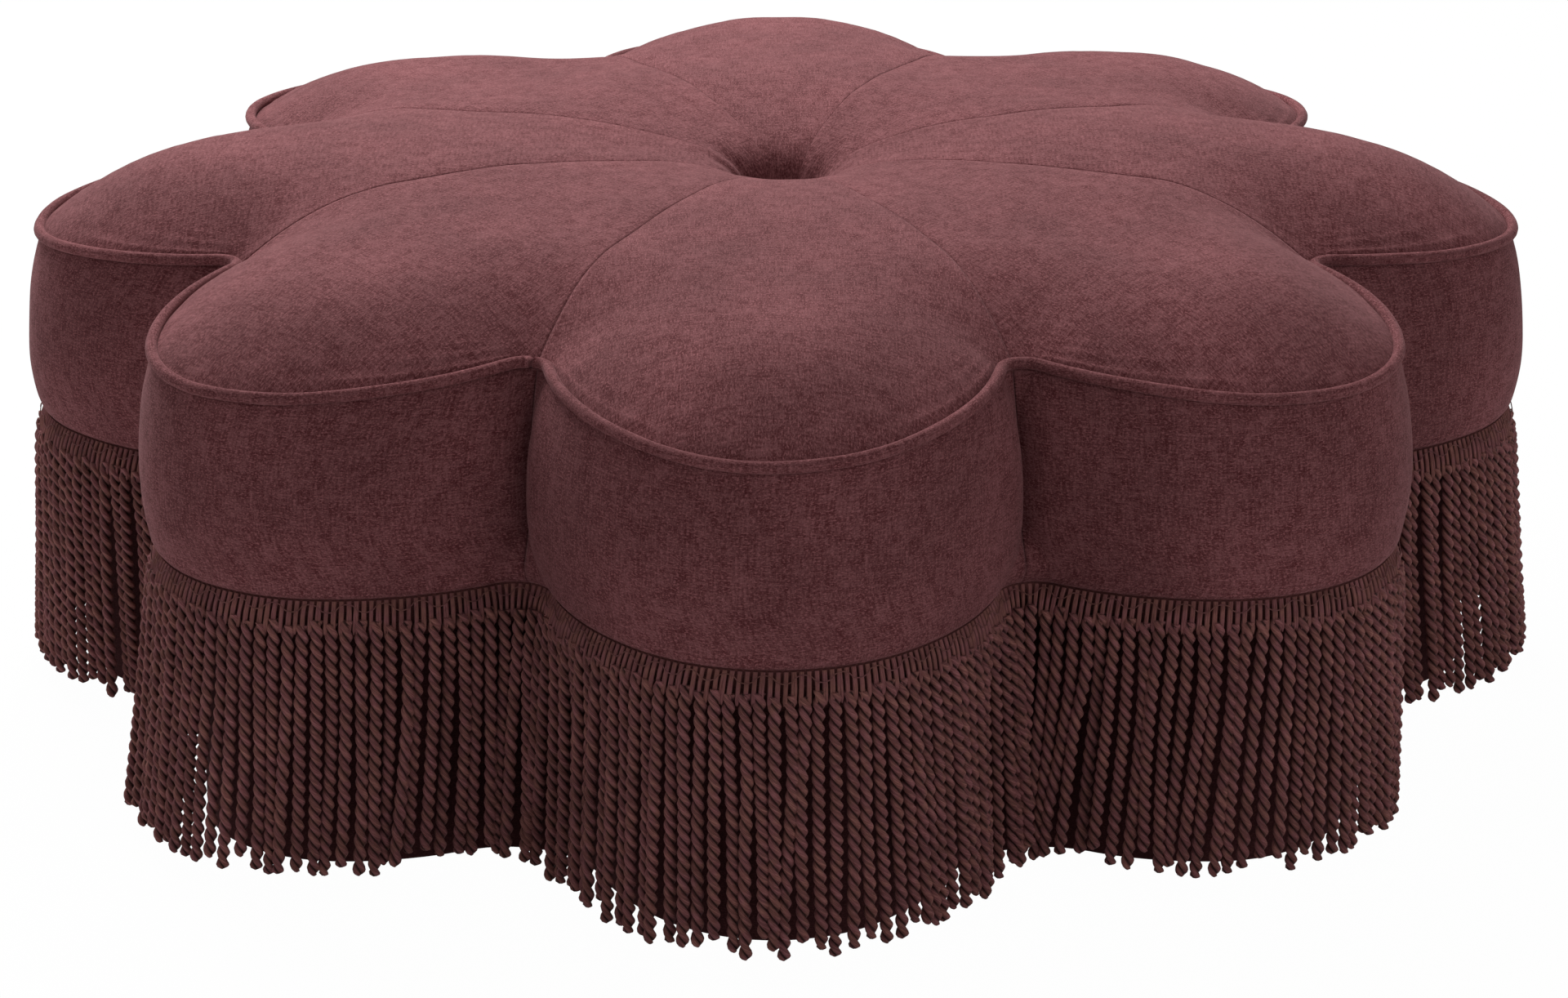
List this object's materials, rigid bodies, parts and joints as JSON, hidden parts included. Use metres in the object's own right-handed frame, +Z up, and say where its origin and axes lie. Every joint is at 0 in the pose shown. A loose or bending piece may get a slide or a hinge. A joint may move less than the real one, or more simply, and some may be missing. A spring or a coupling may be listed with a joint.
{
  "type": "ottoman",
  "caption": "Flower-shaped upholstered ottoman with a crowned, centre-tufted petal top, piped edge, bulging side panels and a bullion fringe over a cloth-wrapped plinth.",
  "frame": {"origin": "on the floor, under the flower's centre", "axes": "+Z up along the flower's axis; -Y towards the front petal; +X to the right seen from the front"},
  "size_m": [1.0686, 1.0686, 0.392],
  "materials": {
    "cover_cloth": "heathered chenille weave, matt with a soft sheen",
    "fringe_yarn": "twisted yarn, matt",
    "plinth_cloth": "plain cloth, matt",
    "foam": "open-cell foam, matt",
    "plywood": "unfinished plywood",
    "frame_timber": "planed softwood",
    "dust_cloth": "black non-woven cloth",
    "twine": "waxed twine",
    "zinc_steel": "bright zinc",
    "nylon": "moulded nylon"
  },
  "bodies": {
    "root": {"crown_panel_1": "cover_cloth", "boxing_panel_1": "cover_cloth", "fringe_1": "fringe_yarn", "plinth_wall_1": "plywood", "stud_1": "frame_timber", "crown_panel_2": "cover_cloth", "boxing_panel_2": "cover_cloth", "fringe_2": "fringe_yarn", "plinth_wall_2": "plywood", "stud_2": "frame_timber", "crown_panel_3": "cover_cloth", "boxing_panel_3": "cover_cloth", "fringe_3": "fringe_yarn", "plinth_wall_3": "plywood", "stud_3": "frame_timber", "crown_panel_4": "cover_cloth", "boxing_panel_4": "cover_cloth", "fringe_4": "fringe_yarn", "plinth_wall_4": "plywood", "stud_4": "frame_timber", "crown_panel_5": "cover_cloth", "boxing_panel_5": "cover_cloth", "fringe_5": "fringe_yarn", "plinth_wall_5": "plywood", "stud_5": "frame_timber", "crown_panel_6": "cover_cloth", "boxing_panel_6": "cover_cloth", "fringe_6": "fringe_yarn", "plinth_wall_6": "plywood", "stud_6": "frame_timber", "crown_panel_7": "cover_cloth", "boxing_panel_7": "cover_cloth", "fringe_7": "fringe_yarn", "plinth_wall_7": "plywood", "stud_7": "frame_timber", "crown_panel_8": "cover_cloth", "boxing_panel_8": "cover_cloth", "fringe_8": "fringe_yarn", "plinth_wall_8": "plywood", "stud_8": "frame_timber", "welt_cord": "cover_cloth", "plinth_cover": "plinth_cloth", "seat_foam": "foam", "seat_deck": "plywood", "deck_ring": "plywood", "base_plate": "plywood", "dust_cover": "dust_cloth", "tuft_button": "cover_cloth", "tuft_twine": "twine", "tuft_washer": "zinc_steel", "deck_screws": "zinc_steel", "base_screws": "zinc_steel", "glides": "nylon"}
  },
  "joints": []
}
